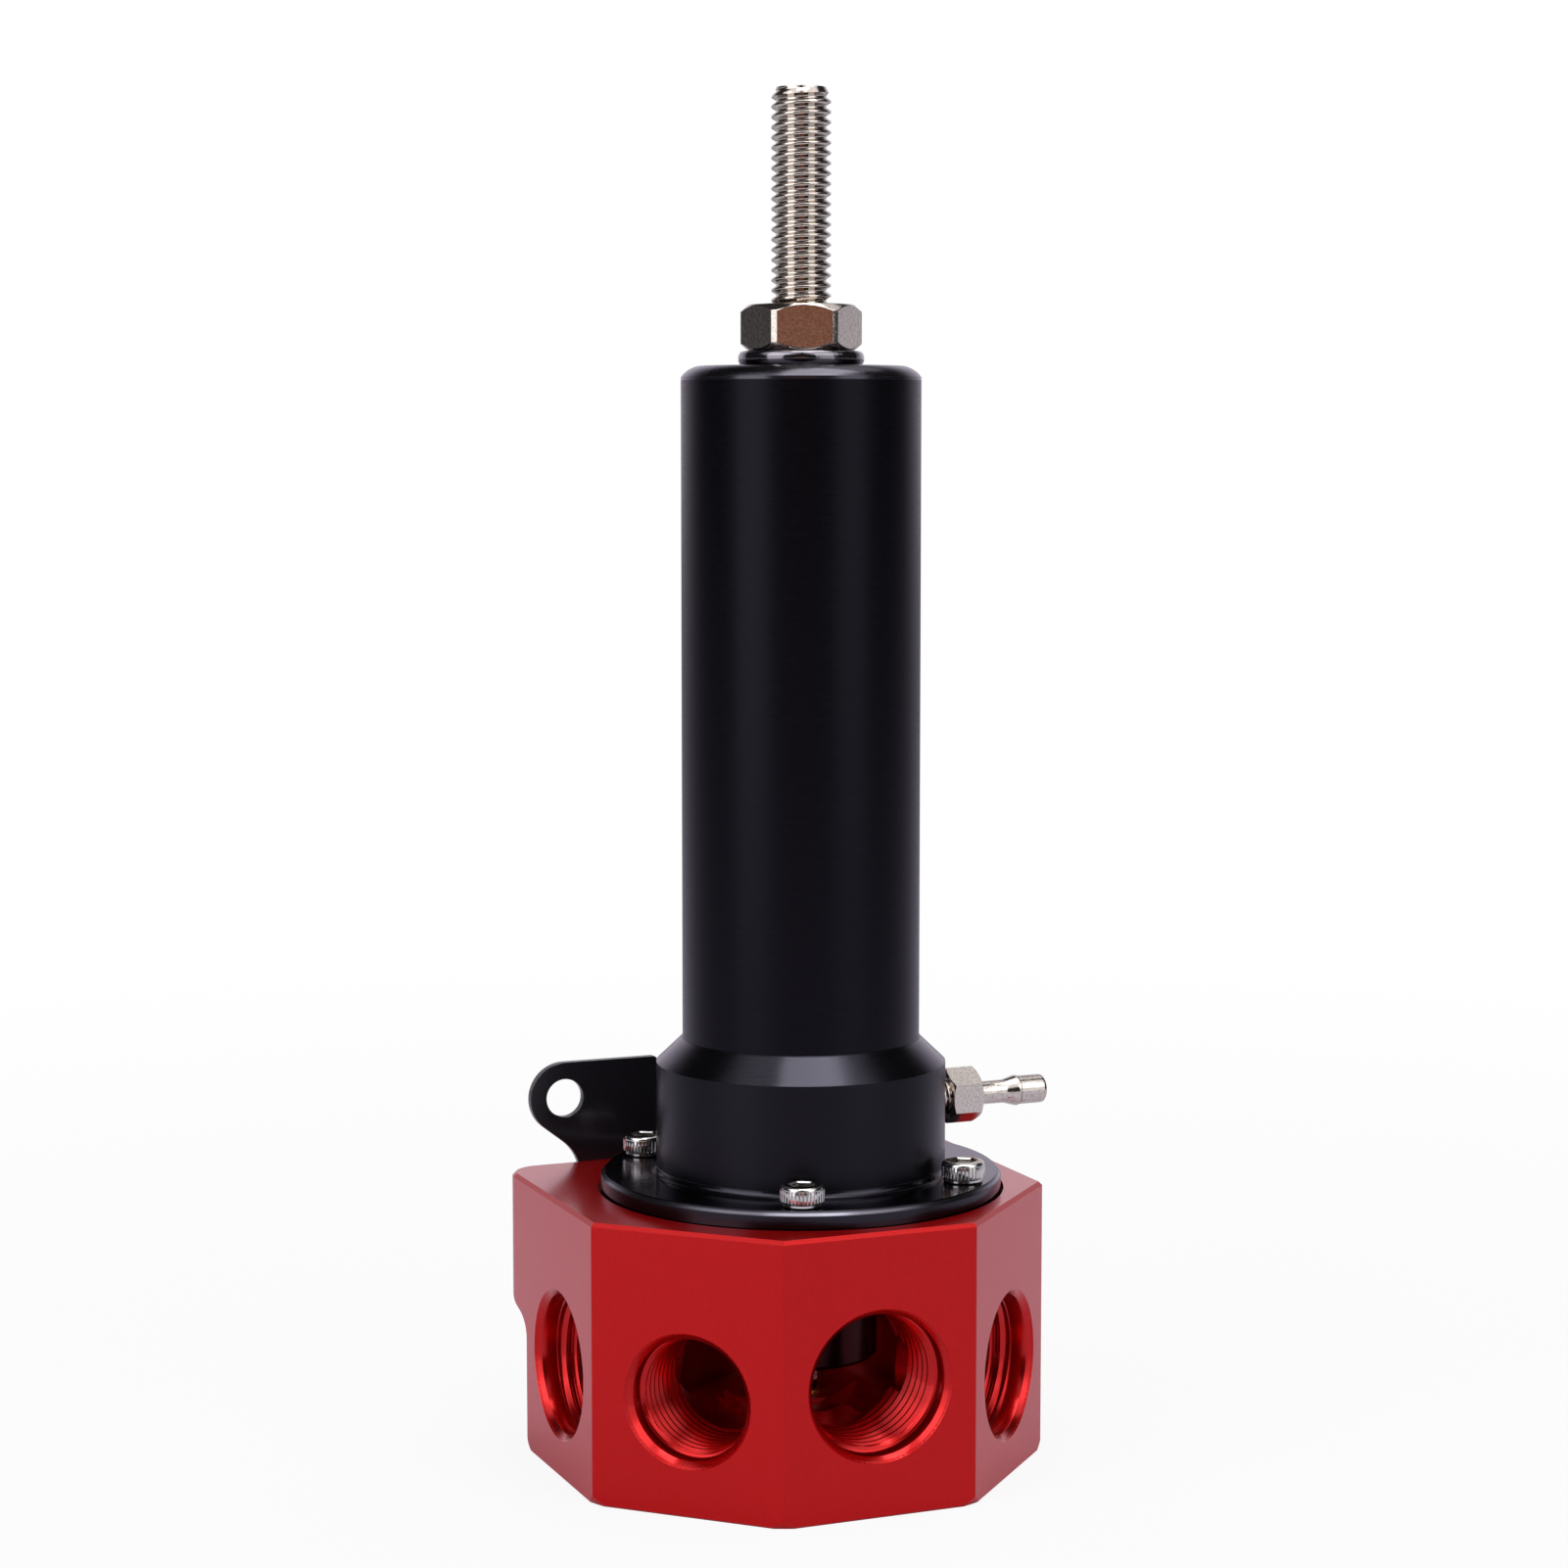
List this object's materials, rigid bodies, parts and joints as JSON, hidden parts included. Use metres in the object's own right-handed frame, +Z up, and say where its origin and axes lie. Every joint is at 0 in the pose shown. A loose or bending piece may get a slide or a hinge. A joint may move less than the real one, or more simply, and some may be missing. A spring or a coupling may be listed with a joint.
{
  "type": "fuel pressure regulator",
  "caption": "Bypass fuel pressure regulator: anodised port block under a tall spring housing, with a jam-nutted adjusting screw, vacuum barb and rear bracket.",
  "frame": {"origin": "on the axis of the spring housing, at the underside of the port block, in the middle of the return port's face", "axes": "+Z up along the spring housing and the adjusting screw; -Y out of the front port; +Y out of the back face with the bracket; +X out of the plain right face, along the vacuum barb"},
  "size_m": [0.084, 0.0716, 0.2196],
  "materials": {
    "red_anodised": "satin",
    "black_anodised": "satin",
    "turned_aluminium": "satin",
    "rubberised_fabric": "matte",
    "zinc_steel": "satin",
    "stainless_steel": "polished",
    "spring_steel": "satin",
    "seat_brass": "satin",
    "nickel_plate": "bright",
    "black_steel": "satin",
    "seal_rubber": "matte"
  },
  "bodies": {
    "regulator_body": {"port_block": "red_anodised", "spring_housing": "black_anodised", "diaphragm": "rubberised_fabric", "valve_seat": "seat_brass", "main_spring": "spring_steel", "screw_seal": "seal_rubber", "nut_washer": "nickel_plate", "flange_screws": "stainless_steel", "flange_washers": "stainless_steel", "vacuum_barb": "nickel_plate", "mounting_bracket": "black_steel", "bracket_screws": "stainless_steel", "bracket_washers": "stainless_steel"},
    "valve_assembly": {"diaphragm_plate": "turned_aluminium", "diaphragm_washer": "zinc_steel", "diaphragm_nut": "zinc_steel", "valve_holder": "turned_aluminium", "valve_stem": "stainless_steel", "valve_ball": "stainless_steel"},
    "spring_cap": {"spring_cap": "turned_aluminium", "thrust_ball": "stainless_steel"},
    "adjusting_screw": {"adjusting_screw": "nickel_plate"},
    "jam_nut": {"jam_nut": "nickel_plate"}
  },
  "joints": [
    {"name": "valve_lift", "type": "slide", "parent": "regulator_body", "child": "valve_assembly", "axis": [0, 0, 1], "range_m": [0, 0.0012], "stiffness_N_per_m": 4000, "springref_m": -0.005, "deforming": ["diaphragm"]},
    {"name": "adjuster_travel", "type": "slide", "parent": "regulator_body", "child": "spring_cap", "axis": [0, 0, 1], "range_m": [-0.03, 0.018], "deforming": ["main_spring"]},
    {"name": "adjuster_turn", "type": "hinge", "parent": "spring_cap", "child": "adjusting_screw", "pos_m": [0, 0, 0.1821], "axis": [0, 0, 1], "range_deg": [-6900, 4140]},
    {"name": "jam_nut_turn", "type": "hinge", "parent": "regulator_body", "child": "jam_nut", "pos_m": [0, 0, 0.1819], "axis": [0, 0, 1], "range_deg": [0, 720]}
  ],
  "couplings": [
    {"joint": "adjuster_turn", "follows": "adjuster_travel", "rad_per_m": 3957.9}
  ]
}
